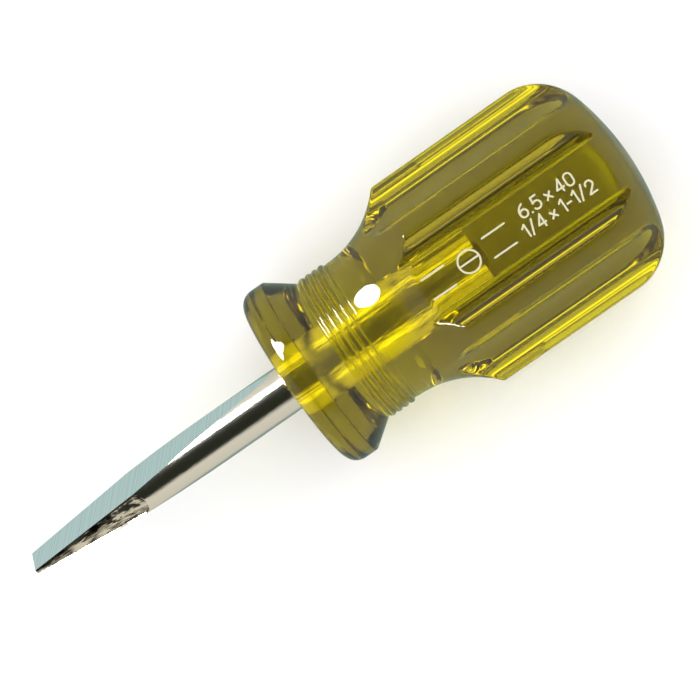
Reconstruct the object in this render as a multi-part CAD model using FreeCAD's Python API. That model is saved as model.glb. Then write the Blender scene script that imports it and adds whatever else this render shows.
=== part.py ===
import FreeCAD, Part

import math
import os

from FreeCAD import Vector

# Stubby screwdriver with a slotted tip: a ground steel blade pressed into a one-piece fluted plastic handle.
# The origin is the centre of the tip's end face. +X runs along the tool's axis from the tip to the butt,
# and +Z points out of the flat panel that carries the stamped marking. All sizes are in millimetres.

# Blade
SHANK_R = 3.175
EXPOSED_LENGTH = 41.0
EMBEDDED_LENGTH = 29.0
SHANK_CHAMFER_LENGTH = 0.7
SHANK_CHAMFER_DEPTH = 1.9
BLADE_ROLL_DEG = -58.0
TIP_HALF_THICKNESS = 0.35
TIP_HALF_WIDTH = 2.0
WEDGE_LENGTH = 20.3
WEDGE_HALF_THICKNESS = 2.10
GRIND_RUNOUT_X = 39.0
GRIND_WHEEL_R = 326.0
NECKED_LENGTH = 15.5
NECKED_HALF_WIDTH = 2.62
STEP_R = 2.2

# Handle, measured along the axis from its front face
HANDLE_LENGTH = 50.8
GUARD_R = 12.85
GUARD_FRONT_R = 2.0
GUARD_BACK_X = 4.2
GUARD_BACK_R = 0.5
NECK_RING_X = 7.6
NECK_RING_R = 10.5
RING_COUNT = 4
RING_PITCH = 0.97
RING_GROOVE_DEPTH = 0.42
NECK_R = 10.2
SHOULDER_X = 12.0
SHOULDER_R = 13.1
BUTT_CORNER_R = 7.6
BUTT_DOME_R = 34.0
TURNED_R = 14.9

# Grip section: six ridges with wide scallops between them. The upward scallop holds a raised flat panel.
RIDGE_COUNT = 6
RIDGE_R = 14.84
RIDGE_HALF_ANGLE_DEG = 6.0
SCALLOP_BOTTOM_R = 11.6
RIDGE_EDGE_R = 0.4
PANEL_HEIGHT = 13.1
PANEL_HALF_WIDTH = 3.45
PANEL_EDGE_R = 0.2
PANEL_WALL_FOOT_Y = 3.80
PANEL_GROOVE_Y = 4.10
PANEL_GROOVE_HEIGHT = 11.72
PANEL_RIDGE_EDGE_DEG = 26.0
GRIP_FRONT_X = 13.0

# Stamped marking on the panel: a slotted-screw sign between rules, and two rows of size figures
FOIL_THICKNESS = 0.05
STROKE_WIDTH = 0.24
SIGN_X = 67.9
SIGN_Y = -0.2
SIGN_R = 1.4
RULE_LENGTH = 3.2
RULE_SPACING = 1.4
FIGURE_HEIGHT = 1.6
FIGURE_GAP = 0.42
# start along the tool, base line across it and text of each row of figures
FIGURE_ROWS = ((76.1, 0.3, "6.5 x 40"), (75.3, -1.9, "1/4 x 1-1/2"))
# each figure's strokes on a grid one figure high: two points make a straight stroke, three an arc
FIGURES = {
    "0": [
        ((0.0, 0.3), (0.0, 0.7)),
        ((0.0, 0.7), (0.3, 1.0), (0.6, 0.7)),
        ((0.6, 0.7), (0.6, 0.3)),
        ((0.6, 0.3), (0.3, 0.0), (0.0, 0.3)),
    ],
    "1": [((0.0, 0.78), (0.26, 1.0)), ((0.26, 1.0), (0.26, 0.0))],
    "2": [((0.02, 0.72), (0.34, 1.0), (0.5, 0.5)), ((0.5, 0.5), (0.0, 0.0)), ((0.0, 0.0), (0.6, 0.0))],
    "4": [((0.46, 0.0), (0.46, 1.0)), ((0.46, 1.0), (0.0, 0.28)), ((0.0, 0.28), (0.62, 0.28))],
    "5": [((0.55, 1.0), (0.1, 1.0)), ((0.1, 1.0), (0.06, 0.52)), ((0.06, 0.52), (0.6, 0.32), (0.02, 0.12))],
    "6": [
        ((0.48, 1.0), (0.12, 0.76), (0.0, 0.3)),
        ((0.0, 0.3), (0.3, 0.6), (0.6, 0.3)),
        ((0.6, 0.3), (0.3, 0.0), (0.0, 0.3)),
    ],
    "x": [((0.0, 0.1), (0.44, 0.6)), ((0.0, 0.6), (0.44, 0.1))],
    "/": [((0.0, -0.06), (0.42, 1.06))],
    "-": [((0.0, 0.42), (0.34, 0.42))],
    ".": [((0.0, 0.0), (0.05, 0.0))],
    " ": [],
}

# how far the cutting shapes reach past the material, and how closely a point has to match an edge's place
CUT_MARGIN = 1.0
MATCH_TOLERANCE = 0.01

X_AXIS = Vector(1, 0, 0)
Y_AXIS = Vector(0, 1, 0)
Z_AXIS = Vector(0, 0, 1)
ORIGIN = Vector(0, 0, 0)


def line(start, end):
    return Part.LineSegment(start, end).toShape()


def arc(start, middle, end):
    return Part.Arc(start, middle, end).toShape()


def polar(radius, angle):
    """Point of the grip section's plane at an angle in radians from +Z towards +Y."""
    return Vector(0, radius * math.sin(angle), radius * math.cos(angle))


# Blade ---------------------------------------------------------------------------------------------------


def bow(start, end, radius):
    """Middle point of an arc of the given radius in the XZ plane that bulges upward, away from the axis."""
    chord = end - start
    sagitta = radius - math.sqrt(radius**2 - chord.Length**2 / 4)
    return (start + end) * 0.5 + Vector(-chord.z, 0, chord.x).normalize() * sagitta


def wedge_envelope():
    """Block between the two wide ground faces, which taper evenly and then run out on the round bar."""
    reach = SHANK_R + CUT_MARGIN
    length = EXPOSED_LENGTH + EMBEDDED_LENGTH
    runout_start = Vector(WEDGE_LENGTH, 0, WEDGE_HALF_THICKNESS)
    runout_end = Vector(GRIND_RUNOUT_X, 0, SHANK_R)
    top = [
        line(Vector(0, 0, TIP_HALF_THICKNESS), runout_start),
        arc(runout_start, bow(runout_start, runout_end, GRIND_WHEEL_R), runout_end),
        line(runout_end, Vector(GRIND_RUNOUT_X, 0, reach)),
        line(Vector(GRIND_RUNOUT_X, 0, reach), Vector(length, 0, reach)),
        line(Vector(length, 0, reach), Vector(length, 0, 0)),
        line(Vector(0, 0, 0), Vector(0, 0, TIP_HALF_THICKNESS)),
    ]
    bottom = [edge.mirror(ORIGIN, Z_AXIS) for edge in top]
    outline = Part.Wire(Part.__sortEdges__(top + bottom))
    block = Part.Face(outline).extrude(Vector(0, 2 * reach, 0))
    block.translate(Vector(0, -reach, 0))
    return block


def necked_envelope():
    """Block between the two narrow sides, which taper to the tip and step up to the full bar."""
    reach = SHANK_R + CUT_MARGIN
    length = EXPOSED_LENGTH + EMBEDDED_LENGTH
    step_start = Vector(NECKED_LENGTH, NECKED_HALF_WIDTH, 0)
    rise = reach - NECKED_HALF_WIDTH
    run = math.sqrt(STEP_R**2 - (STEP_R - rise) ** 2)
    half = math.asin(run / STEP_R) / 2
    step_middle = step_start + Vector(STEP_R * math.sin(half), STEP_R * (1 - math.cos(half)), 0)
    step_end = step_start + Vector(run, rise, 0)
    side = [
        line(Vector(0, 0, 0), Vector(0, TIP_HALF_WIDTH, 0)),
        line(Vector(0, TIP_HALF_WIDTH, 0), step_start),
        arc(step_start, step_middle, step_end),
        line(step_end, Vector(length, reach, 0)),
        line(Vector(length, reach, 0), Vector(length, 0, 0)),
    ]
    other_side = [edge.mirror(ORIGIN, Y_AXIS) for edge in side]
    outline = Part.Wire(Part.__sortEdges__(side + other_side))
    block = Part.Face(outline).extrude(Vector(0, 0, 2 * reach))
    block.translate(Vector(0, 0, -reach))
    return block


def make_bar():
    """Round bar from the tip's place to its chamfered rear end, before any grinding."""
    chamfer_x = EXPOSED_LENGTH + EMBEDDED_LENGTH - SHANK_CHAMFER_LENGTH
    straight = Part.makeCylinder(SHANK_R, chamfer_x, ORIGIN, X_AXIS)
    end_r = SHANK_R - SHANK_CHAMFER_DEPTH
    end = Part.makeCone(SHANK_R, end_r, SHANK_CHAMFER_LENGTH, Vector(chamfer_x, 0, 0), X_AXIS)
    return straight.fuse(end).removeSplitter()


def make_blade():
    blade = make_bar().common(wedge_envelope()).common(necked_envelope())
    blade.rotate(ORIGIN, X_AXIS, BLADE_ROLL_DEG)
    return blade.Solids[0]


# Handle --------------------------------------------------------------------------------------------------


def shoulder_radius(x):
    """Radius of the concave shoulder at a place along the handle."""
    return NECK_R + SHOULDER_R - math.sqrt(SHOULDER_R**2 - (x - SHOULDER_X) ** 2)


def shoulder_x(radius):
    """Place along the handle where the concave shoulder reaches a radius."""
    return SHOULDER_X + math.sqrt(SHOULDER_R**2 - (NECK_R + SHOULDER_R - radius) ** 2)


def butt_points():
    """Start of the butt's corner, its middle, where it meets the dome, the dome's middle and the crown."""
    centre_r = TURNED_R - BUTT_CORNER_R
    span = BUTT_DOME_R - BUTT_CORNER_R
    centre_x = HANDLE_LENGTH - BUTT_DOME_R + math.sqrt(span**2 - centre_r**2)
    meet = math.atan2(centre_r, math.sqrt(span**2 - centre_r**2))
    corner = Vector(centre_x, 0, centre_r)
    dome = Vector(HANDLE_LENGTH - BUTT_DOME_R, 0, 0)
    middle = (meet + math.pi / 2) / 2
    return [
        corner + Vector(0, 0, BUTT_CORNER_R),
        corner + Vector(BUTT_CORNER_R * math.cos(middle), 0, BUTT_CORNER_R * math.sin(middle)),
        dome + Vector(BUTT_DOME_R * math.cos(meet), 0, BUTT_DOME_R * math.sin(meet)),
        dome + Vector(BUTT_DOME_R * math.cos(meet / 2), 0, BUTT_DOME_R * math.sin(meet / 2)),
        dome + Vector(BUTT_DOME_R, 0, 0),
    ]


def turned_profile():
    """Half outline of the turned handle, before the flutes: guard, ringed neck, shoulder, grip and butt."""
    diagonal = math.sqrt(0.5)
    front_flat = Vector(0, 0, GUARD_R - GUARD_FRONT_R)
    front_round = Vector(GUARD_FRONT_R * (1 - diagonal), 0, GUARD_R - GUARD_FRONT_R * (1 - diagonal))
    guard_front = Vector(GUARD_FRONT_R, 0, GUARD_R)
    guard_back = Vector(GUARD_BACK_X - GUARD_BACK_R, 0, GUARD_R)
    back_slope = math.atan2(GUARD_R - NECK_RING_R, NECK_RING_X - GUARD_BACK_X)
    back_centre = Vector(GUARD_BACK_X - GUARD_BACK_R, 0, GUARD_R - GUARD_BACK_R)
    back_middle_angle = math.pi / 2 - back_slope / 2
    back_middle = back_centre + Vector(
        GUARD_BACK_R * math.cos(back_middle_angle), 0, GUARD_BACK_R * math.sin(back_middle_angle)
    )
    back_end = back_centre + Vector(GUARD_BACK_R * math.sin(back_slope), 0, GUARD_BACK_R * math.cos(back_slope))
    ring_start = Vector(NECK_RING_X, 0, NECK_RING_R - RING_GROOVE_DEPTH)
    edges = [
        line(ORIGIN, front_flat),
        arc(front_flat, front_round, guard_front),
        line(guard_front, guard_back),
        arc(guard_back, back_middle, back_end),
        line(back_end, ring_start),
    ]
    valley = ring_start
    for _ in range(RING_COUNT):
        crest = valley + Vector(RING_PITCH / 2, 0, RING_GROOVE_DEPTH)
        next_valley = valley + Vector(RING_PITCH, 0, 0)
        edges.append(arc(valley, crest, next_valley))
        valley = next_valley
    shoulder_start = Vector(SHOULDER_X, 0, NECK_R)
    blank_x = shoulder_x(TURNED_R)
    middle_x = (SHOULDER_X + blank_x) / 2
    shoulder_middle = Vector(middle_x, 0, shoulder_radius(middle_x))
    shoulder_end = Vector(blank_x, 0, TURNED_R)
    corner_start, corner_middle, dome_start, dome_middle, crown = butt_points()
    edges += [
        line(valley, shoulder_start),
        arc(shoulder_start, shoulder_middle, shoulder_end),
        line(shoulder_end, corner_start),
        arc(corner_start, corner_middle, dome_start),
        arc(dome_start, dome_middle, crown),
        line(crown, ORIGIN),
    ]
    return Part.Wire(edges)


def panel_side():
    """Half of the marked face, from the panel's middle over its wall and groove to the ridge beside it."""
    ridge_edge = polar(RIDGE_R, math.radians(PANEL_RIDGE_EDGE_DEG))
    middle = Vector(0, 0, PANEL_HEIGHT)
    panel_edge = Vector(0, PANEL_HALF_WIDTH, PANEL_HEIGHT)
    foot = Vector(0, PANEL_WALL_FOOT_Y, PANEL_GROOVE_HEIGHT)
    groove = Vector(0, PANEL_GROOVE_Y, PANEL_GROOVE_HEIGHT)
    return [line(middle, panel_edge), line(panel_edge, foot), line(foot, groove), line(groove, ridge_edge)]


def grip_section():
    """Closed outline of the grip across the axis."""
    pitch = 2 * math.pi / RIDGE_COUNT
    half_ridge = math.radians(RIDGE_HALF_ANGLE_DEG)
    near_panel = math.radians(PANEL_RIDGE_EDGE_DEG)
    edges = panel_side()
    ridge_start = near_panel
    for index in range(RIDGE_COUNT):
        ridge_end = pitch * (index + 0.5) + half_ridge
        last = index == RIDGE_COUNT - 1
        if last:
            ridge_end = 2 * math.pi - near_panel
        ridge_middle = (ridge_start + ridge_end) / 2
        edges.append(arc(polar(RIDGE_R, ridge_start), polar(RIDGE_R, ridge_middle), polar(RIDGE_R, ridge_end)))
        if not last:
            ridge_start = pitch * (index + 1.5) - half_ridge
            bottom = polar(SCALLOP_BOTTOM_R, pitch * (index + 1))
            edges.append(arc(polar(RIDGE_R, ridge_end), bottom, polar(RIDGE_R, ridge_start)))
    edges += [edge.mirror(ORIGIN, Y_AXIS) for edge in panel_side()]
    return Part.Wire(Part.__sortEdges__(edges))


def long_edges(bar, test):
    """Edges that run along the bar and whose end point passes the test."""
    along = [edge for edge in bar.Edges if abs(edge.tangentAt(edge.FirstParameter).x) > 1 - MATCH_TOLERANCE]
    return [edge for edge in along if test(edge.Vertexes[0].Point)]


def is_ridge_edge(spot):
    return math.hypot(spot.y, spot.z) > RIDGE_R - MATCH_TOLERANCE


def is_panel_edge(spot):
    at_top = abs(spot.z - PANEL_HEIGHT) < MATCH_TOLERANCE
    return at_top and abs(abs(spot.y) - PANEL_HALF_WIDTH) < MATCH_TOLERANCE


def make_fluted_bar():
    """Bar with the grip's section, with the long edges of its ridges and its panel eased."""
    bar = Part.Face(grip_section()).extrude(X_AXIS * (HANDLE_LENGTH + CUT_MARGIN - GRIP_FRONT_X))
    bar.translate(Vector(GRIP_FRONT_X, 0, 0))
    bar = bar.makeFillet(RIDGE_EDGE_R, long_edges(bar, is_ridge_edge))
    return bar.makeFillet(PANEL_EDGE_R, long_edges(bar, is_panel_edge))


def make_handle():
    """One-piece handle with a blind bore that the bar fills to its end."""
    turned = Part.Face(turned_profile()).revolve(ORIGIN, X_AXIS, 360)
    front = Part.makeCylinder(TURNED_R + CUT_MARGIN, GRIP_FRONT_X, ORIGIN, X_AXIS)
    handle = turned.common(front.fuse(make_fluted_bar()))
    handle.translate(Vector(EXPOSED_LENGTH, 0, 0))
    return handle.cut(make_bar()).removeSplitter().Solids[0]


# Stamped marking -----------------------------------------------------------------------------------------


def stroke(points):
    """Foil of one straight or curved stroke with round ends, lying on the panel."""
    half = STROKE_WIDTH / 2
    spots = [Vector(x, y, PANEL_HEIGHT) for x, y in points]
    start = spots[0]
    end = spots[-1]
    if len(spots) == 2:
        across = Vector(start.y - end.y, end.x - start.x, 0).normalize() * half
        corners = [start + across, end + across, end - across, start - across, start + across]
        outline = Part.makePolygon(corners)
    else:
        circle = arc(*spots).Curve
        grow = half / circle.Radius
        outer = [spot + (spot - circle.Center) * grow for spot in spots]
        inner = [spot - (spot - circle.Center) * grow for spot in spots]
        outline = Part.Wire([arc(*outer), line(outer[-1], inner[-1]), arc(*inner[::-1]), line(inner[0], outer[0])])
    foil = Part.Face(outline).extrude(Z_AXIS * FOIL_THICKNESS)
    ends = [Part.makeCylinder(half, FOIL_THICKNESS, spot, Z_AXIS) for spot in (start, end)]
    return foil.fuse(ends)


def join_strokes(strokes):
    """One solid of the strokes that touch each other."""
    if len(strokes) == 1:
        return strokes[0].removeSplitter()
    return strokes[0].fuse(strokes[1:]).removeSplitter()


def figure_row(start_x, base_y, text):
    """Foil figures in a row along the tool, each one a separate solid."""
    row = []
    x = start_x
    for character in text:
        strokes = FIGURES[character]
        spots = [spot for points in strokes for spot in points]
        placed = [[(x + u * FIGURE_HEIGHT, base_y + v * FIGURE_HEIGHT) for u, v in points] for points in strokes]
        if placed:
            row.append(join_strokes([stroke(points) for points in placed]))
        x += max([u for u, v in spots], default=0) * FIGURE_HEIGHT + FIGURE_GAP
    return row


def slotted_screw_sign():
    """Ring with a bar across it, the usual sign for a slotted screw, with two plain rules on each side."""
    half = STROKE_WIDTH / 2
    centre = Vector(SIGN_X, SIGN_Y, PANEL_HEIGHT)
    rim = Part.makeCylinder(SIGN_R + half, FOIL_THICKNESS, centre, Z_AXIS)
    ring = rim.cut(Part.makeCylinder(SIGN_R - half, FOIL_THICKNESS, centre, Z_AXIS))
    bar = stroke([(SIGN_X - SIGN_R, SIGN_Y), (SIGN_X + SIGN_R, SIGN_Y)])
    pieces = [ring.fuse(bar).removeSplitter()]
    for side in (-1, 1):
        near = SIGN_X + side * 2 * SIGN_R
        for y in (SIGN_Y - RULE_SPACING, SIGN_Y + RULE_SPACING):
            pieces.append(stroke([(near, y), (near + side * RULE_LENGTH, y)]).removeSplitter())
    return pieces


def make_marking():
    pieces = slotted_screw_sign()
    for start_x, base_y, text in FIGURE_ROWS:
        pieces += figure_row(start_x, base_y, text)
    return Part.Compound([solid for piece in pieces for solid in piece.Solids])


if __name__ == "__main__":
    os.makedirs("parts", exist_ok=True)
    pieces = {"handle": make_handle(), "blade": make_blade(), "stamped_marking": make_marking()}
    for name, shape in pieces.items():
        box = shape.optimalBoundingBox(False)
        print(name, len(shape.Solids), "solids", shape.isValid(), round(shape.Volume, 2), "mm3", box)
        shape.exportStep("parts/" + name + ".step")
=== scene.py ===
import math

import bmesh
import bpy
from mathutils import Matrix, Vector, noise


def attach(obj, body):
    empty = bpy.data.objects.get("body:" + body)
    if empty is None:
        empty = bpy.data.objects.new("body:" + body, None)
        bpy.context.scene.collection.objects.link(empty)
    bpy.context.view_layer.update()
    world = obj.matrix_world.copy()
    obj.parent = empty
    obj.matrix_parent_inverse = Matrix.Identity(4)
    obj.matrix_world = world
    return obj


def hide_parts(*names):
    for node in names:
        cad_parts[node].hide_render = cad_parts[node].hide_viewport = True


# Stubby slotted screwdriver: a plated steel blade in a transparent amber handle, with a cream marking.
# Shapes are worked out in millimetres along the tool (+X, tip to butt) and written to meshes in metres.
# Camera, lights and the extent of the floor are given in metres.

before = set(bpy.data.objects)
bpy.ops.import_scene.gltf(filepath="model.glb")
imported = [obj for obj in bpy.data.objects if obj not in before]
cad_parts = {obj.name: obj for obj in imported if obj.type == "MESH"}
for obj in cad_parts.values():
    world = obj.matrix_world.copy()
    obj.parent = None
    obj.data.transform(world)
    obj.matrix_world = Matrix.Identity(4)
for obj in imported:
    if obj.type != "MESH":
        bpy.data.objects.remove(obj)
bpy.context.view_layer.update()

MM = 0.001

# Blade
SHANK_R = 3.175
BAR_END_X = 70.0
BAR_CHAMFER_LENGTH = 0.7
BAR_CHAMFER_DEPTH = 1.9
BLADE_ROLL = math.radians(-58.0)
TIP_HALF_THICKNESS = 0.35
TIP_HALF_WIDTH = 2.0
WEDGE_LENGTH = 20.3
WEDGE_HALF_THICKNESS = 2.10
GRIND_RUNOUT_X = 39.0
GRIND_WHEEL_R = 326.0
NECKED_LENGTH = 15.5
NECKED_HALF_WIDTH = 2.62
STEP_R = 2.2
STEP_END_X = NECKED_LENGTH + STEP_R
NARROW_CROWN = 0.30
FORGING_DEPTH = 0.16
FORGING_START_X = 2.0
FORGING_FADE_IN = 10.0
FORGING_FADE_OUT = 1.5
GRINDING_SLANT = math.radians(-20)

# Handle, measured along the axis from its front face
HANDLE_X = 41.0
HANDLE_LENGTH = 50.8
# the bore is smaller than the bar by a hundredth or two, so that no film of air shows between them
BORE_R = 3.165
BORE_DEPTH = 28.98
GUARD_R = 12.85
GUARD_FRONT_R = 2.0
GUARD_BACK_X = 4.2
GUARD_BACK_R = 0.5
NECK_RING_X = 7.6
NECK_RING_R = 10.5
RING_COUNT = 4
RING_PITCH = 0.97
RING_GROOVE_DEPTH = 0.42
NECK_R = 10.2
SHOULDER_X = 12.0
SHOULDER_R = 13.1
SHOULDER_TOP_R = 15.4
BUTT_CENTRE = (42.17, 7.3)
BUTT_CORNER_R = 7.6
BUTT_CORNER_START_DEG = 74.0
BUTT_DOME_R = 34.0

# Grip section
RIDGE_R = 14.83
RIDGE_HALF_ANGLE = math.radians(6.0)
RIDGE_PITCH = math.radians(60)
RIDGE_EDGE_R = 0.4
RIDGE_EDGE_ANGLE = math.radians(2)
RIDGE_TOP_INSET = math.radians(1.6)
RIDGE_TOP_POINTS = 4
SCALLOP_BOTTOM_R = 11.6
SCALLOP_LINE_DEPTH = 0.028
SCALLOP_POINTS = 32
PANEL_HEIGHT = 13.09
PANEL_HALF_WIDTH = 3.45
PANEL_FOOT = (3.80, 11.72)
PANEL_GROOVE = (4.10, 11.72)
PANEL_GROOVE_DIP = 0.04
PANEL_EDGE_REACH = 0.25
PANEL_RIDGE_ANGLE = math.radians(26.0)
BEND_POINTS = 4
CREASE_SOFTNESS = 0.3
GRIP_FRONT_X = 13.0

FLOOR_Z = -13.56


# Shared helpers --------------------------------------------------------------------------------------------


def arc_points(centre, radius, start, end, count):
    """Points along an arc, from one angle in degrees to another."""
    points = []
    for index in range(count + 1):
        angle = math.radians(start + (end - start) * index / count)
        points.append((centre[0] + radius * math.cos(angle), centre[1] + radius * math.sin(angle)))
    return points


def line_points(start, end, count):
    """Points along a straight line, without its last one."""
    return [
        (start[0] + (end[0] - start[0]) * index / count, start[1] + (end[1] - start[1]) * index / count)
        for index in range(count)
    ]


def new_piece(name, vertices, faces, face_slots, materials):
    """Mesh piece that rides on the root body."""
    mesh = bpy.data.meshes.new(name)
    mesh.from_pydata([Vector(vertex) * MM for vertex in vertices], [], faces)
    for material in materials:
        mesh.materials.append(material)
    mesh.polygons.foreach_set("material_index", face_slots)
    mesh.polygons.foreach_set("use_smooth", [True] * len(faces))
    shape = bmesh.new()
    shape.from_mesh(mesh)
    bmesh.ops.recalc_face_normals(shape, faces=shape.faces)
    shape.to_mesh(mesh)
    shape.free()
    piece = bpy.data.objects.new(name, mesh)
    bpy.context.scene.collection.objects.link(piece)
    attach(piece, "root")
    return piece


# Materials -------------------------------------------------------------------------------------------------


def new_material(name):
    """Material with a Principled shader, and its node tree and shader."""
    material = bpy.data.materials.new(name)
    material.use_nodes = True
    tree = material.node_tree
    shader = tree.nodes["Principled BSDF"]
    return material, tree, shader


def object_coordinates(tree, scale=(1, 1, 1)):
    place = tree.nodes.new("ShaderNodeTexCoord")
    mapping = tree.nodes.new("ShaderNodeMapping")
    mapping.inputs["Scale"].default_value = scale
    tree.links.new(place.outputs["Object"], mapping.inputs["Vector"])
    return mapping.outputs["Vector"]


def noise_texture(tree, vector, scale, detail=3.0, roughness=0.5):
    node = tree.nodes.new("ShaderNodeTexNoise")
    node.inputs["Scale"].default_value = scale
    node.inputs["Detail"].default_value = detail
    node.inputs["Roughness"].default_value = roughness
    tree.links.new(vector, node.inputs["Vector"])
    return node.outputs["Fac"]


def add_bump(tree, shader, height, strength, distance):
    bump = tree.nodes.new("ShaderNodeBump")
    bump.inputs["Strength"].default_value = strength
    bump.inputs["Distance"].default_value = distance
    tree.links.new(height, bump.inputs["Height"])
    tree.links.new(bump.outputs["Normal"], shader.inputs["Normal"])


def ranged(tree, value, low, high, from_low=0.0, from_high=1.0):
    """Value stretched to a new range."""
    node = tree.nodes.new("ShaderNodeMapRange")
    node.inputs["From Min"].default_value = from_low
    node.inputs["From Max"].default_value = from_high
    node.inputs["To Min"].default_value = low
    node.inputs["To Max"].default_value = high
    tree.links.new(value, node.inputs["Value"])
    return node.outputs["Result"]


def amber_material():
    """Transparent amber acetate.

    One material covers the whole handle, so that the tint stops wherever light leaves the plastic."""
    material, tree, shader = new_material("amber_acetate")
    shader.inputs["Base Color"].default_value = (1.0, 0.99, 0.9, 1.0)
    shader.inputs["Transmission Weight"].default_value = 0.993
    shader.inputs["IOR"].default_value = 1.48
    fine = noise_texture(tree, object_coordinates(tree), 900.0, 4.0, 0.6)
    tree.links.new(ranged(tree, fine, 0.0, 0.03, 0.5, 0.8), shader.inputs["Roughness"])
    absorption = tree.nodes.new("ShaderNodeVolumeAbsorption")
    absorption.inputs["Color"].default_value = (0.934, 0.922, 0.02, 1.0)
    absorption.inputs["Density"].default_value = 430.0
    tree.links.new(absorption.outputs["Volume"], tree.nodes["Material Output"].inputs["Volume"])
    return material


def steel_material(name, color, roughness, scale, noise_scale, depth):
    """Metal whose fine marks are stretched by the scale given and stand up by the depth, in metres."""
    material, tree, shader = new_material(name)
    shader.inputs["Base Color"].default_value = color
    shader.inputs["Metallic"].default_value = 1.0
    fine = noise_texture(tree, object_coordinates(tree, scale), noise_scale, 4.0, 0.6)
    tree.links.new(ranged(tree, fine, roughness, roughness + 0.08), shader.inputs["Roughness"])
    add_bump(tree, shader, fine, 1.0, depth)
    return material


def ground_steel_material():
    """Ground face: grinding lines a little off square to the axis, on a teal tint that is a painted
    reflection.
    """
    material, tree, shader = new_material("ground_steel")
    shader.inputs["Metallic"].default_value = 1.0
    shader.inputs["Roughness"].default_value = 0.42
    place = tree.nodes.new("ShaderNodeTexCoord")
    across = tree.nodes.new("ShaderNodeVectorMath")
    across.operation = "DOT_PRODUCT"
    slant = math.tan(GRINDING_SLANT)
    across.inputs[1].default_value = (1.0, slant * math.cos(BLADE_ROLL), slant * math.sin(BLADE_ROLL))
    lines = tree.nodes.new("ShaderNodeTexNoise")
    lines.noise_dimensions = "1D"
    lines.inputs["Scale"].default_value = 4200.0
    lines.inputs["Detail"].default_value = 2.0
    ramp = tree.nodes.new("ShaderNodeValToRGB")
    # painted reflection: the teal in both colours stands in for the cool reflection the ground face catches;
    # the step from dark to light between them is the grinding lines
    ramp.color_ramp.elements[0].position = 0.30
    ramp.color_ramp.elements[0].color = (0.41, 0.58, 0.61, 1)
    ramp.color_ramp.elements[1].position = 0.66
    ramp.color_ramp.elements[1].color = (0.56, 0.74, 0.78, 1)
    tree.links.new(place.outputs["Object"], across.inputs[0])
    tree.links.new(across.outputs["Value"], lines.inputs["W"])
    tree.links.new(lines.outputs["Fac"], ramp.inputs["Fac"])
    tree.links.new(ramp.outputs["Color"], shader.inputs["Base Color"])
    add_bump(tree, shader, lines.outputs["Fac"], 0.6, 0.00003)
    return material


def forged_steel_material():
    """Rough side left by the forge: dark scale in streaks along the tool with bare metal between them."""
    material, tree, shader = new_material("forged_steel")
    shader.inputs["Metallic"].default_value = 1.0
    shader.inputs["Roughness"].default_value = 0.22
    rough = noise_texture(tree, object_coordinates(tree, (0.3, 1, 1)), 900.0, 4.0, 0.6)
    ramp = tree.nodes.new("ShaderNodeValToRGB")
    ramp.color_ramp.elements[0].position = 0.40
    ramp.color_ramp.elements[0].color = (0.05, 0.045, 0.035, 1)
    ramp.color_ramp.elements[1].position = 0.56
    ramp.color_ramp.elements[1].color = (0.86, 0.81, 0.68, 1)
    tree.links.new(rough, ramp.inputs["Fac"])
    tree.links.new(ramp.outputs["Color"], shader.inputs["Base Color"])
    add_bump(tree, shader, rough, 1.0, 0.0001)
    return material


def marking_material():
    """Cream foil, slightly uneven."""
    material, tree, shader = new_material("cream_foil")
    fine = noise_texture(tree, object_coordinates(tree), 3000.0)
    ramp = tree.nodes.new("ShaderNodeValToRGB")
    ramp.color_ramp.elements[0].color = (0.50, 0.47, 0.29, 1.0)
    ramp.color_ramp.elements[1].color = (0.62, 0.60, 0.42, 1.0)
    tree.links.new(fine, ramp.inputs["Fac"])
    tree.links.new(ramp.outputs["Color"], shader.inputs["Base Color"])
    shader.inputs["Roughness"].default_value = 0.5
    return material


# Handle ----------------------------------------------------------------------------------------------------


def handle_profile():
    """Places along the handle and radii of its turned outline, from the bore's mouth to the butt."""
    points = line_points((0, BORE_R), (0, GUARD_R - GUARD_FRONT_R), 8)
    points += arc_points((GUARD_FRONT_R, GUARD_R - GUARD_FRONT_R), GUARD_FRONT_R, 180, 90, 14)
    slope = math.degrees(math.atan2(GUARD_R - NECK_RING_R, NECK_RING_X - GUARD_BACK_X))
    back_centre = (GUARD_BACK_X - GUARD_BACK_R, GUARD_R - GUARD_BACK_R)
    points += arc_points(back_centre, GUARD_BACK_R, 90, 90 - slope, 8)
    ring_start = (NECK_RING_X, NECK_RING_R - RING_GROOVE_DEPTH)
    points += line_points(points[-1], ring_start, 10)[1:]
    bead_r = (RING_PITCH**2 / 4 + RING_GROOVE_DEPTH**2) / (2 * RING_GROOVE_DEPTH)
    bead_half = math.degrees(math.asin(RING_PITCH / 2 / bead_r))
    for index in range(RING_COUNT):
        centre = (NECK_RING_X + (index + 0.5) * RING_PITCH, NECK_RING_R - bead_r)
        bead = arc_points(centre, bead_r, 90 + bead_half, 90 - bead_half, 10)
        points += bead if index == RING_COUNT - 1 else bead[:-1]
    shoulder_centre = (SHOULDER_X, NECK_R + SHOULDER_R)
    end_angle = -math.degrees(math.asin((NECK_R + SHOULDER_R - SHOULDER_TOP_R) / SHOULDER_R))
    points += arc_points(shoulder_centre, SHOULDER_R, -90, end_angle, 84)
    corner = arc_points(BUTT_CENTRE, BUTT_CORNER_R, BUTT_CORNER_START_DEG, butt_meet_angle(), 60)
    tangent_x = corner[0][0] - (SHOULDER_TOP_R - corner[0][1]) * math.tan(math.radians(BUTT_CORNER_START_DEG))
    points += line_points(points[-1], (tangent_x, SHOULDER_TOP_R), 8)[1:]
    points += line_points((tangent_x, SHOULDER_TOP_R), corner[0], 12)
    points += corner
    dome = arc_points((HANDLE_LENGTH - BUTT_DOME_R, 0), BUTT_DOME_R, butt_meet_angle(), 0, 30)
    points += dome[1:-1]
    return points


def butt_meet_angle():
    """Angle in degrees at which the butt's corner meets its dome."""
    span = BUTT_DOME_R - BUTT_CORNER_R
    return math.degrees(math.asin(BUTT_CENTRE[1] / span))


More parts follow.
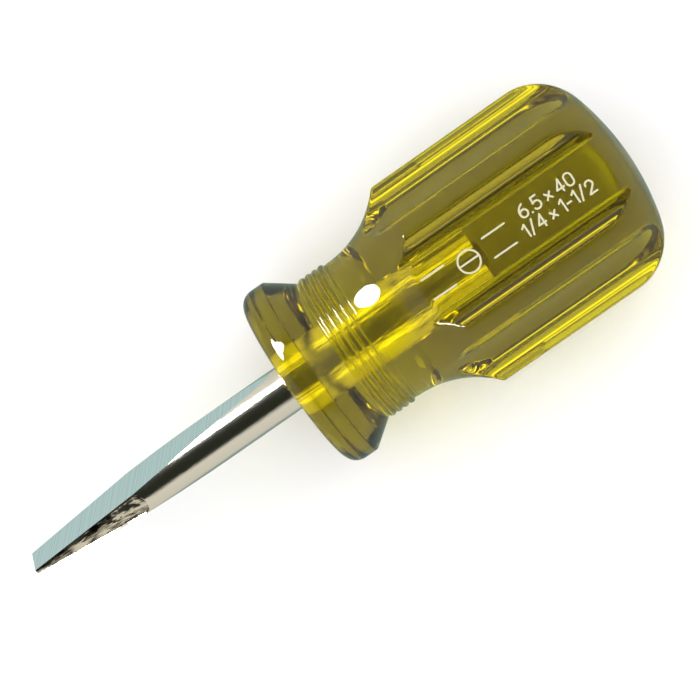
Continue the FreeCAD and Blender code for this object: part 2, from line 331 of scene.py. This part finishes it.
def polar_point(radius, angle):
    """Point across the tool at an angle from +Z towards +Y."""
    return (radius * math.sin(angle), radius * math.cos(angle))


def circle_through(a, b, c):
    """Centre and radius of the circle through three points."""
    d = 2 * (a[0] * (b[1] - c[1]) + b[0] * (c[1] - a[1]) + c[0] * (a[1] - b[1]))
    squares = [p[0] ** 2 + p[1] ** 2 for p in (a, b, c)]
    x = (squares[0] * (b[1] - c[1]) + squares[1] * (c[1] - a[1]) + squares[2] * (a[1] - b[1])) / d
    y = (squares[0] * (c[0] - b[0]) + squares[1] * (a[0] - c[0]) + squares[2] * (b[0] - a[0])) / d
    return (x, y), math.hypot(a[0] - x, a[1] - y)


def rounded(before, corner, after, reach):
    """Small smooth bend that takes the place of the corner between two other points."""
    before, corner, after = Vector(before), Vector(corner), Vector(after)
    start = corner + (before - corner).normalized() * reach
    end = corner + (after - corner).normalized() * reach
    bend = []
    for index in range(BEND_POINTS + 1):
        t = index / BEND_POINTS
        bend.append(tuple(start * (1 - t) ** 2 + corner * 2 * t * (1 - t) + end * t**2))
    return bend


def scallop_line(spot, step):
    """Point of a scallop moved in or out a little, which leaves fine lines along the tool.

    The second, slower wave makes some of the lines fainter than others."""
    offset = SCALLOP_LINE_DEPTH * math.sin(2.6 * step) * (0.6 + 0.4 * math.sin(0.9 * step))
    radius = math.hypot(spot[0], spot[1])
    return (spot[0] * (1 + offset / radius), spot[1] * (1 + offset / radius))


def panel_outline():
    """Half of the marked face, from the panel's middle over its wall and groove to the ridge beside it."""
    ridge_near = polar_point(RIDGE_R, PANEL_RIDGE_ANGLE)
    ridge_step = polar_point(RIDGE_R, PANEL_RIDGE_ANGLE + RIDGE_EDGE_ANGLE)
    edge_bend = rounded((0, PANEL_HEIGHT), (PANEL_HALF_WIDTH, PANEL_HEIGHT), PANEL_FOOT, PANEL_EDGE_REACH)
    groove_middle = ((PANEL_FOOT[0] + PANEL_GROOVE[0]) / 2, PANEL_FOOT[1] - PANEL_GROOVE_DIP)
    ridge_bend = rounded(PANEL_GROOVE, ridge_near, ridge_step, RIDGE_EDGE_R)
    outline = line_points((0, PANEL_HEIGHT), edge_bend[0], 8)
    outline += edge_bend
    outline += line_points(edge_bend[-1], PANEL_FOOT, 6)[1:]
    outline += [PANEL_FOOT, groove_middle, PANEL_GROOVE]
    outline += line_points(PANEL_GROOVE, ridge_bend[0], 12)[1:]
    return outline + ridge_bend


def ridge_top(start, end):
    """Points on a ridge between its two eased edges."""
    span = end - start - 2 * RIDGE_TOP_INSET
    points = []
    for step in range(1, RIDGE_TOP_POINTS + 1):
        points.append(polar_point(RIDGE_R, start + RIDGE_TOP_INSET + span * step / (RIDGE_TOP_POINTS + 1)))
    return points


def scallop_outline(index):
    """Hollow after the ridge with this number, with the ridge edges on both sides of it eased."""
    start_angle = RIDGE_PITCH * (index + 0.5) + RIDGE_HALF_ANGLE
    end_angle = RIDGE_PITCH * (index + 1.5) - RIDGE_HALF_ANGLE
    start = polar_point(RIDGE_R, start_angle)
    end = polar_point(RIDGE_R, end_angle)
    bottom = polar_point(SCALLOP_BOTTOM_R, RIDGE_PITCH * (index + 1))
    centre, radius = circle_through(start, bottom, end)
    first = math.atan2(start[1] - centre[1], start[0] - centre[0])
    last = math.atan2(end[1] - centre[1], end[0] - centre[0])
    if first - last > math.pi:
        last += 2 * math.pi
    if last - first > math.pi:
        last -= 2 * math.pi
    hollow = arc_points(centre, radius, math.degrees(first), math.degrees(last), SCALLOP_POINTS)
    hollow = [scallop_line(spot, step) for step, spot in enumerate(hollow)]
    before = polar_point(RIDGE_R, start_angle - RIDGE_EDGE_ANGLE)
    after = polar_point(RIDGE_R, end_angle + RIDGE_EDGE_ANGLE)
    near_bend = rounded(before, start, hollow[2], RIDGE_EDGE_R)
    far_bend = rounded(hollow[-3], end, after, RIDGE_EDGE_R)
    return near_bend + hollow[2:-2] + far_bend


def half_section():
    """Angles and radii of the grip's outline from the panel's middle to the scallop opposite it."""
    outline = panel_outline()
    for index in range(3):
        middle = RIDGE_PITCH * (index + 0.5)
        start = middle - RIDGE_HALF_ANGLE if index else PANEL_RIDGE_ANGLE
        outline += ridge_top(start, middle + RIDGE_HALF_ANGLE)
        outline += scallop_outline(index)
    # the last scallop runs on past the half, where the mirrored half takes over
    polar = [(math.atan2(y, z) % (2 * math.pi), math.hypot(y, z)) for y, z in outline]
    return [spot for spot in polar if 0 <= spot[0] < math.pi - 0.01] + [(math.pi, SCALLOP_BOTTOM_R)]


def full_section():
    """Angles and radii all the way round the grip, in order."""
    half = half_section()
    other = [(2 * math.pi - angle, radius) for angle, radius in half[1:-1]]
    return sorted(half + other)


def soft_minimum(a, b):
    """The smaller of two radii, with the crease between the two surfaces eased."""
    blend = max(CREASE_SOFTNESS - abs(a - b), 0) / CREASE_SOFTNESS
    return min(a, b) - blend * blend * CREASE_SOFTNESS / 4


def make_handle():
    """Solid handle with a blind bore, as rings of points along its outline."""
    section = full_section()
    count = len(section)
    profile = handle_profile()
    bore = [(BORE_DEPTH, BORE_R - BAR_CHAMFER_DEPTH), (BORE_DEPTH - BAR_CHAMFER_LENGTH, BORE_R)]
    bore += line_points((BORE_DEPTH - BAR_CHAMFER_LENGTH, BORE_R), (0, BORE_R), 12)[1:]
    outline = bore + profile
    vertices = []
    for place, radius in outline:
        for angle, limit in section:
            r = soft_minimum(radius, limit) if place > GRIP_FRONT_X and radius > NECK_R else radius
            vertices.append((HANDLE_X + place, r * math.sin(angle), r * math.cos(angle)))
    rings = len(outline)
    faces = []
    for ring in range(rings - 1):
        for step in range(count):
            after = (step + 1) % count
            a = ring * count + step
            b = ring * count + after
            faces.append((a, b, b + count, a + count))
    bore_end = len(vertices)
    vertices.append((HANDLE_X + BORE_DEPTH, 0, 0))
    crown = len(vertices)
    vertices.append((HANDLE_X + HANDLE_LENGTH, 0, 0))
    last = (rings - 1) * count
    for step in range(count):
        after = (step + 1) % count
        faces.append((bore_end, after, step))
        faces.append((last + step, last + after, crown))
    slots = [0] * len(faces)
    handle = new_piece("handle_acetate", vertices, faces, slots, [amber_material()])
    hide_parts("handle")


# Blade -----------------------------------------------------------------------------------------------------


def wedge_half_thickness(x):
    """Half thickness between the wide ground faces at a place along the blade."""
    if x <= WEDGE_LENGTH:
        return TIP_HALF_THICKNESS + (WEDGE_HALF_THICKNESS - TIP_HALF_THICKNESS) * x / WEDGE_LENGTH
    if x >= GRIND_RUNOUT_X:
        return SHANK_R
    run = GRIND_RUNOUT_X - WEDGE_LENGTH
    rise = SHANK_R - WEDGE_HALF_THICKNESS
    t = x - WEDGE_LENGTH
    return WEDGE_HALF_THICKNESS + rise * t / run + t * (run - t) / (2 * GRIND_WHEEL_R)


def necked_half_width(x):
    """Half width between the narrow sides at a place along the blade."""
    if x <= NECKED_LENGTH:
        return TIP_HALF_WIDTH + (NECKED_HALF_WIDTH - TIP_HALF_WIDTH) * x / NECKED_LENGTH
    t = min((x - NECKED_LENGTH) / STEP_R, 1)
    return min(NECKED_HALF_WIDTH + STEP_R * (1 - math.sqrt(1 - t * t)), SHANK_R)


FACE_POINTS = 8
BAR_POINTS = 16
SIDE_POINTS = 14
# just under one, so that the flats keep a hair of width where they have run out
NEARLY = 0.99999
SHARP_ANGLE = math.radians(28)
# the blade's materials, in the order of its list
PLATED, GROUND, FORGED, EMBEDDED = range(4)


def quarter_section(x):
    """Points of a quarter of the blade's section, from the wide face's middle to the narrow side's middle.

    The first stretch is the ground face, the second the round bar and the third the narrow side."""
    thickness = min(wedge_half_thickness(x), SHANK_R * NEARLY)
    width = min(necked_half_width(x), SHANK_R * NEARLY)
    face_end = math.sqrt(SHANK_R**2 - thickness**2)
    side_end = math.sqrt(SHANK_R**2 - width**2)
    if face_end > width:
        face_end = width
        side_end = thickness
    face = line_points((0, thickness), (face_end, thickness), FACE_POINTS)
    start = math.degrees(math.atan2(thickness, face_end))
    end = math.degrees(math.atan2(side_end, width))
    radius = math.hypot(face_end, thickness)
    bar = arc_points((0, 0), radius, start, end, BAR_POINTS)
    side = []
    for index in range(SIDE_POINTS + 1):
        z = side_end * (1 - index / SIDE_POINTS)
        crown = NARROW_CROWN * (side_end / 2 - z * z / side_end) if x < STEP_END_X else 0
        side.append((min(width + crown, math.sqrt(SHANK_R**2 - z * z)), z))
    return face + bar + side[1:]


def forging_dent(x, y, z):
    """How far the rough forged side lies below the smooth one: most of all where it steps up to the bar."""
    strength = max(0.0, min((x - FORGING_START_X) / FORGING_FADE_IN, 1, (STEP_END_X - x) / FORGING_FADE_OUT))
    inside = 1 - (z / max(wedge_half_thickness(x), 0.01)) ** 2
    if strength == 0 or inside < 0.02 or abs(y) < necked_half_width(x) - 0.02:
        return 0.0
    rough = noise.noise(Vector((x * 0.55, y, z * 1.6))) + 0.5 * noise.noise(Vector((x * 1.9, y, z * 4.2)))
    return FORGING_DEPTH * strength * min(1, inside * 3) * (0.5 + rough)


def spaced(start, step, count):
    """Evenly spaced numbers."""
    return [start + step * index for index in range(count)]


def blade_stations():
    """Places of the blade's rings: close together where the sides are forged and where they step up."""
    stations = [0.0, 0.05] + spaced(0.0, 0.4, 18)[1:]
    stations += spaced(7.2, 0.15, 55)
    stations += spaced(NECKED_LENGTH, 0.08, 20)
    stations += spaced(17.2, 0.5, 45)
    stations += spaced(40.0, 5.0, 6)
    return stations + [BAR_END_X - BAR_CHAMFER_LENGTH, BAR_END_X]


def make_blade():
    """Ground blade and bar, as rings of points along the axis."""
    stations = blade_stations()
    turn = Matrix.Rotation(BLADE_ROLL, 3, "X")
    half_count = 2 * (len(quarter_section(0)) - 1)
    count = 2 * half_count
    vertices = []
    for x in stations:
        quarter = quarter_section(x)
        outline = quarter + [(y, -z) for y, z in reversed(quarter[:-1])]
        outline += [(-y, -z) for y, z in quarter[1:]] + [(-y, z) for y, z in reversed(quarter[1:-1])]
        shrink = 1.0
        if x == BAR_END_X:
            shrink = (SHANK_R - BAR_CHAMFER_DEPTH) / SHANK_R
        for y, z in outline:
            dent = forging_dent(x, y, z)
            vertices.append(tuple(turn @ Vector((x, y * shrink - math.copysign(dent, y), z * shrink))))
    faces = []
    slots = []
    for ring in range(len(stations) - 1):
        middle_x = (stations[ring] + stations[ring + 1]) / 2
        for step in range(count):
            a = ring * count + step
            b = ring * count + (step + 1) % count
            faces.append((a, a + count, b + count, b))
            place = step % half_count
            from_face = min(place, half_count - 1 - place)
            on_face = from_face < FACE_POINTS
            on_side = from_face >= FACE_POINTS + BAR_POINTS
            if middle_x > HANDLE_X:
                slots.append(EMBEDDED)
            elif on_face and middle_x < GRIND_RUNOUT_X:
                slots.append(GROUND)
            elif on_side and middle_x < STEP_END_X:
                slots.append(FORGED)
            else:
                slots.append(PLATED)
    for ring, flip in ((0, False), (len(stations) - 1, True)):
        start = ring * count
        loop = list(range(start, start + count))
        faces.append(tuple(reversed(loop)) if flip else tuple(loop))
        slots.append(GROUND if ring == 0 else EMBEDDED)
    materials = [
        steel_material("plated_steel", (0.86, 0.84, 0.76, 1), 0.10, (0.3, 1, 1), 1800.0, 0.00002),
        ground_steel_material(),
        forged_steel_material(),
        steel_material("embedded_steel", (0.88, 0.78, 0.60, 1), 0.18, (0.06, 1, 1), 1100.0, 0.00014),
    ]
    blade = new_piece("blade_steel", vertices, faces, slots, materials)
    blade.data.set_sharp_from_angle(angle=SHARP_ANGLE)
    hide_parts("blade")


# Surroundings ----------------------------------------------------------------------------------------------


FLOOR_HALF_SIZE = 2.5


def make_floor():
    """White table. Mirror reflections miss it and show the studio instead."""
    material, tree, shader = new_material("pale_floor")
    shader.inputs["Base Color"].default_value = (0.88, 0.885, 0.93, 1)
    shader.inputs["Roughness"].default_value = 0.9
    shader.inputs["Specular IOR Level"].default_value = 0.1
    size = FLOOR_HALF_SIZE
    mesh = bpy.data.meshes.new("floor")
    corners = [(-size, -size), (size, -size), (size, size), (-size, size)]
    mesh.from_pydata([(x, y, FLOOR_Z * MM) for x, y in corners], [], [(0, 1, 2, 3)])
    mesh.materials.append(material)
    floor = bpy.data.objects.new("floor", mesh)
    bpy.context.scene.collection.objects.link(floor)
    floor.visible_glossy = False


AIM = Vector((0.0491, -0.0005, 0.0))
CAMERA_DISTANCE = 0.260
CAMERA_TILT = math.radians(4.2)
CAMERA_LEAN = math.radians(1.2)
CAMERA_ROLL = math.radians(34.75)
LENS = 105.3


def make_camera():
    """Camera almost straight above the tool, which lies across the view at an angle."""
    toward = Vector((math.sin(CAMERA_TILT), -math.sin(CAMERA_LEAN), math.cos(CAMERA_TILT))).normalized()
    along = (Vector((1, 0, 0)) - toward * toward.x).normalized()
    across = toward.cross(along)
    right = along * math.cos(CAMERA_ROLL) - across * math.sin(CAMERA_ROLL)
    up = along * math.sin(CAMERA_ROLL) + across * math.cos(CAMERA_ROLL)
    data = bpy.data.cameras.new("camera")
    data.lens = LENS
    data.sensor_width = 36.0
    data.clip_start = 0.01
    camera = bpy.data.objects.new("camera", data)
    bpy.context.scene.collection.objects.link(camera)
    turn = Matrix((right, up, toward)).transposed().to_4x4()
    camera.matrix_world = Matrix.Translation(AIM + toward * CAMERA_DISTANCE) @ turn
    bpy.context.scene.camera = camera


def add_area_light(name, direction, distance, width, height, power):
    """Soft box that faces the tool."""
    data = bpy.data.lights.new(name, "AREA")
    data.shape = "RECTANGLE"
    data.size = width
    data.size_y = height
    data.energy = power
    light = bpy.data.objects.new(name, data)
    bpy.context.scene.collection.objects.link(light)
    way = Vector(direction).normalized()
    light.location = AIM + way * distance
    light.rotation_euler = way.to_track_quat("Z", "Y").to_euler()
    return light


# heights from straight down, 0, to straight up, 1, and the studio's colour there
WORLD_BANDS = (
    (0.00, (0.27, 0.36, 0.34, 1)),
    (0.14, (0.27, 0.36, 0.34, 1)),
    (0.22, (0.66, 0.63, 0.55, 1)),
    (0.76, (0.72, 0.69, 0.61, 1)),
    (0.86, (0.02, 0.022, 0.015, 1)),
)


def make_lights():
    """Lights and studio: a key for the highlights, a ceiling for the table and soft boxes for the plastic."""
    key = add_area_light("key", (-0.52, 0.92, 1.0), 0.60, 0.30, 0.30, 7.3)
    key.visible_diffuse = False
    key.visible_transmission = False
    key.data.shape = "ELLIPSE"
    ceiling = add_area_light("ceiling", (0.0, 0.1, 1.0), 1.0, 2.0, 2.0, 25.0)
    ceiling.visible_transmission = False
    overhead = add_area_light("overhead", (0.0, 0.0, 1.0), 1.0, 2.0, 2.0, 1.5)
    near_side = add_area_light("near_side", (0.0, -1.0, 0.35), 0.7, 0.9, 0.3, 1.8)
    far_side = add_area_light("far_side", (0.0, 1.0, 0.35), 0.7, 0.9, 0.3, 1.8)
    butt_side = add_area_light("butt_side", (1.0, 0.1, 0.45), 0.6, 0.5, 0.3, 4.0)
    for light in (overhead, near_side, far_side, butt_side):
        light.visible_diffuse = False
    for light in (ceiling, overhead, near_side, far_side, butt_side):
        light.visible_glossy = False
        light.visible_camera = False
    world = bpy.data.worlds.new("studio")
    bpy.context.scene.world = world
    world.use_nodes = True
    tree = world.node_tree
    background = tree.nodes["Background"]
    place = tree.nodes.new("ShaderNodeTexCoord")
    parts = tree.nodes.new("ShaderNodeSeparateXYZ")
    ramp = tree.nodes.new("ShaderNodeValToRGB")
    tree.links.new(place.outputs["Generated"], parts.inputs["Vector"])
    height = ranged(tree, parts.outputs["Z"], 0.0, 1.0, -1.0, 1.0)
    tree.links.new(height, ramp.inputs["Fac"])
    while len(ramp.color_ramp.elements) < len(WORLD_BANDS):
        ramp.color_ramp.elements.new(1.0)
    for element, (position, color) in zip(ramp.color_ramp.elements, WORLD_BANDS):
        element.position = position
        element.color = color
    tree.links.new(ramp.outputs["Color"], background.inputs["Color"])


# Assembly --------------------------------------------------------------------------------------------------


make_handle()
make_blade()
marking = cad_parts["stamped_marking"]
marking.data.materials.clear()
marking.data.materials.append(marking_material())
make_floor()
make_camera()
make_lights()
bpy.context.scene.view_settings.view_transform = "Standard"
